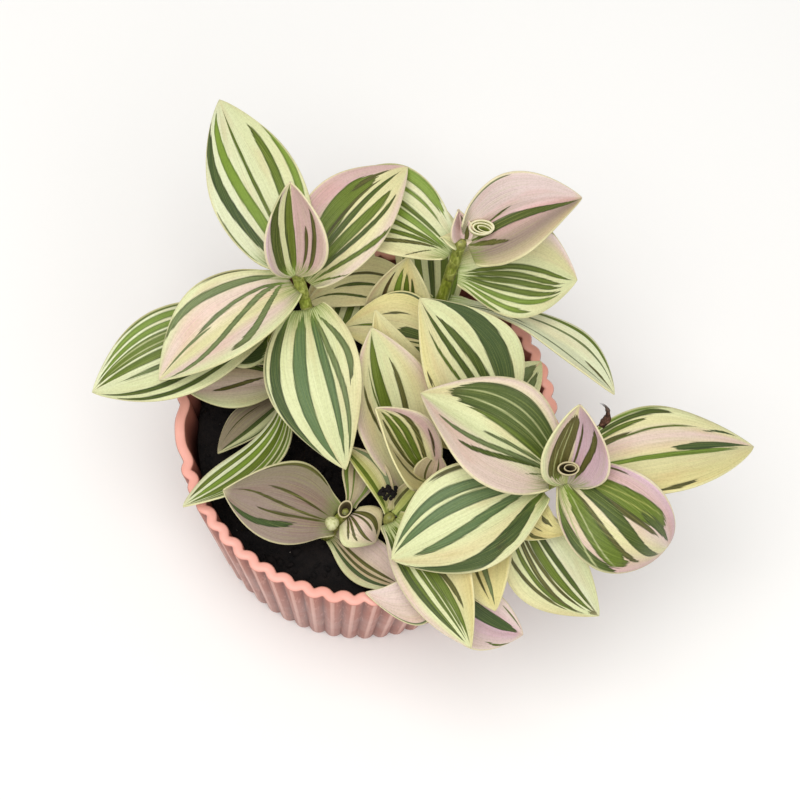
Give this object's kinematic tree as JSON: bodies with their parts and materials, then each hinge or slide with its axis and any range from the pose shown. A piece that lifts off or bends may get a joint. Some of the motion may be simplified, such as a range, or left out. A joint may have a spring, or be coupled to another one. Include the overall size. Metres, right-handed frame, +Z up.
{
  "type": "potted tradescantia",
  "caption": "Trailing striped house plant with pointed cream, green and pink leaves on soft upright shoots, growing in soil in a low tapered fluted plastic pot.",
  "frame": {"origin": "Centre of the pot's flat underside, which rests on the surface below it.", "axes": "+Z is up, along the pot's axis. -Y is the front of the plant as it was seen, and +X its right, where the longest shoot leans over the rim."},
  "size_m": [0.1875, 0.1446, 0.1222],
  "materials": {
    "pot": "matte coral-pink plastic, dusty on the outside",
    "soil": "damp dark potting mix with small pale specks",
    "stem": "satin soft green stem",
    "leaf_cream": "satin cream leaf with lengthwise green stripes",
    "leaf_pink": "satin pink-flushed leaf with lengthwise green stripes",
    "leaf_dry": "matte dried brown leaf"
  },
  "bodies": {
    "root": {"pot": "pot", "soil": "soil", "left_stem": "stem", "left_leaf_1": "leaf_cream", "left_leaf_2": "leaf_pink", "left_leaf_3": "leaf_cream", "left_leaf_4": "leaf_cream", "left_leaf_5": "leaf_cream", "left_leaf_6": "leaf_cream", "left_low_stem": "stem", "left_low_leaf_1": "leaf_cream", "left_low_leaf_2": "leaf_cream", "left_low_leaf_3": "leaf_cream", "left_low_leaf_4": "leaf_cream", "left_low_leaf_5": "leaf_cream", "left_low_leaf_6": "leaf_cream", "back_stem": "stem", "back_leaf_1": "leaf_pink", "back_leaf_2": "leaf_cream", "back_leaf_3": "leaf_cream", "back_leaf_4": "leaf_pink", "back_leaf_5": "leaf_cream", "back_leaf_6": "leaf_pink", "back_leaf_7": "leaf_cream", "inner_stem": "stem", "inner_leaf_1": "leaf_cream", "short_stem": "stem", "short_leaf_1": "leaf_pink", "middle_stem": "stem", "middle_leaf_1": "leaf_cream", "middle_leaf_2": "leaf_cream", "middle_leaf_3": "leaf_cream", "centre_stem": "stem", "centre_leaf_1": "leaf_cream", "centre_leaf_2": "leaf_pink", "centre_leaf_3": "leaf_pink", "right_stem": "stem", "right_leaf_1": "leaf_cream", "right_leaf_2": "leaf_cream", "right_leaf_3": "leaf_cream", "right_leaf_4": "leaf_pink", "right_leaf_5": "leaf_pink", "right_leaf_6": "leaf_cream", "right_leaf_7": "leaf_cream", "right_leaf_8": "leaf_cream", "right_leaf_9": "leaf_dry", "front_stem": "stem", "front_leaf_1": "leaf_cream", "front_leaf_2": "leaf_cream", "rosette_stem": "stem", "rosette_leaf_1": "leaf_pink", "rosette_leaf_2": "leaf_cream", "rosette_leaf_3": "leaf_cream", "rosette_leaf_4": "leaf_cream", "trailing_stem": "stem", "trailing_leaf_1": "leaf_pink", "trailing_leaf_2": "leaf_pink"}
  },
  "joints": []
}
